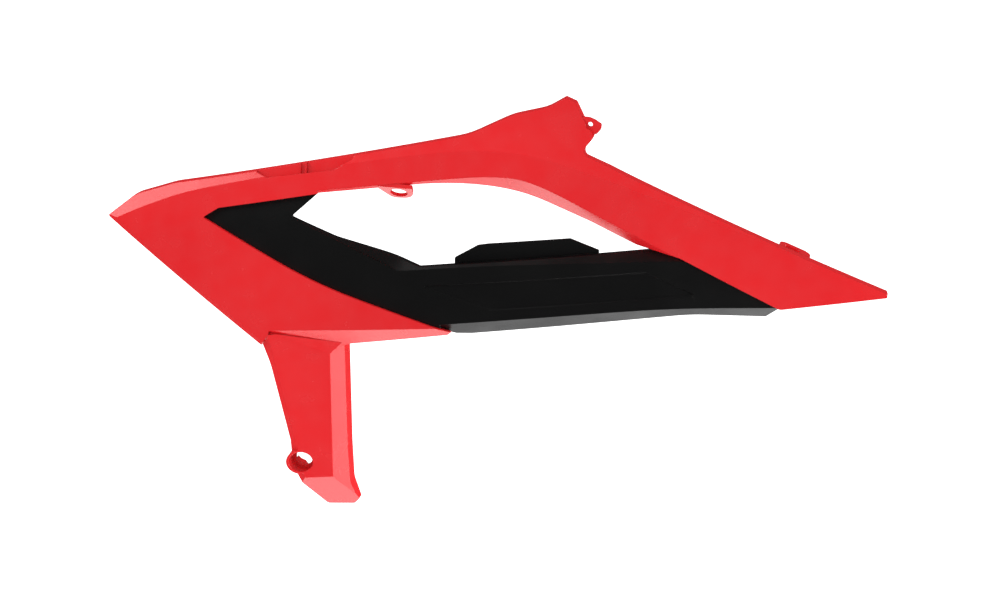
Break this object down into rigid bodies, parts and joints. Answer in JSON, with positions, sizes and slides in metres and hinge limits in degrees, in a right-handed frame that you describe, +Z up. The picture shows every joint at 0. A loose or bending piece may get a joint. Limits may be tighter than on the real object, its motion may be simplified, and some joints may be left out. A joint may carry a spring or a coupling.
{
  "type": "dirt bike radiator shroud",
  "caption": "Left side shroud of a dirt bike: a red open-centred outer panel with a long mounting leg and a black lower infill panel screwed to it from behind.",
  "frame": {"origin": "centre of the lower mount's bolt hole, at the outer face of the recess floor", "axes": "+X toward the rear of the bike, +Y toward the bike from the shroud's outer face, +Z up"},
  "size_m": [0.5635, 0.0831, 0.3305],
  "materials": {
    "red_plastic": "gloss",
    "black_plastic": "satin",
    "screw_steel": "satin"
  },
  "bodies": {
    "root": {"shroud_panel": "red_plastic", "lower_panel": "black_plastic", "fixing_screws": "screw_steel"}
  },
  "joints": []
}
